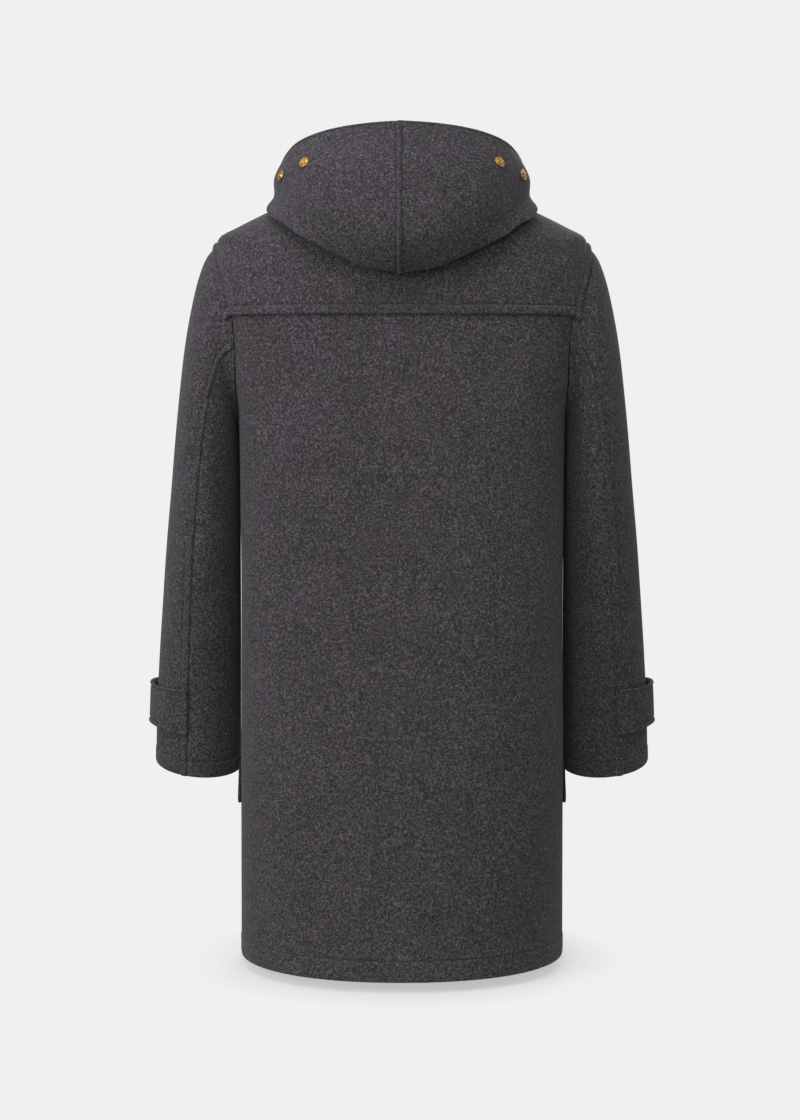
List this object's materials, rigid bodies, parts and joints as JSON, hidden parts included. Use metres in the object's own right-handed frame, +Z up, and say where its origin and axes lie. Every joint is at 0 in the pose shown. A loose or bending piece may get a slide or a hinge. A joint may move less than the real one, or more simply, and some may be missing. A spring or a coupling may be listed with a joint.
{
  "type": "duffle coat",
  "caption": "Hooded knee-length wool duffle coat, filled out as worn: yoke, two-piece sleeves, cuff tabs, flap pockets and horn toggles.",
  "frame": {"origin": "centre of the neck base, where the wearer's shoulders carry the coat", "axes": "+Z up along the wearer's body, +Y out of the coat's back, so its front faces -Y and +X is the wearer's left"},
  "size_m": [0.652, 0.3286, 1.0321],
  "materials": {
    "wool": "brushed melange wool",
    "leather": "smooth",
    "horn": "polished horn",
    "brass": "satin"
  },
  "bodies": {
    "root": {"back": "wool", "cuff_tab_left": "wool", "cuff_tab_right": "wool", "front_left": "wool", "front_right": "wool", "hood_left": "wool", "hood_right": "wool", "pocket_flap_left": "wool", "pocket_flap_right": "wool", "pocket_left": "wool", "pocket_right": "wool", "sleeve_left_under": "wool", "sleeve_left_upper": "wool", "sleeve_right_under": "wool", "sleeve_right_upper": "wool", "yoke": "wool", "loop_1": "leather", "loop_2": "leather", "loop_3": "leather", "loop_4": "leather", "patch_left_1": "leather", "patch_left_2": "leather", "patch_left_3": "leather", "patch_left_4": "leather", "patch_right_1": "leather", "patch_right_2": "leather", "patch_right_3": "leather", "patch_right_4": "leather", "stem_1": "leather", "stem_2": "leather", "stem_3": "leather", "stem_4": "leather", "cuff_button_left": "horn", "cuff_button_right": "horn", "toggle_1": "horn", "toggle_2": "horn", "toggle_3": "horn", "toggle_4": "horn", "snap_left_1": "brass", "snap_left_2": "brass", "snap_right_1": "brass", "snap_right_2": "brass"}
  },
  "joints": []
}
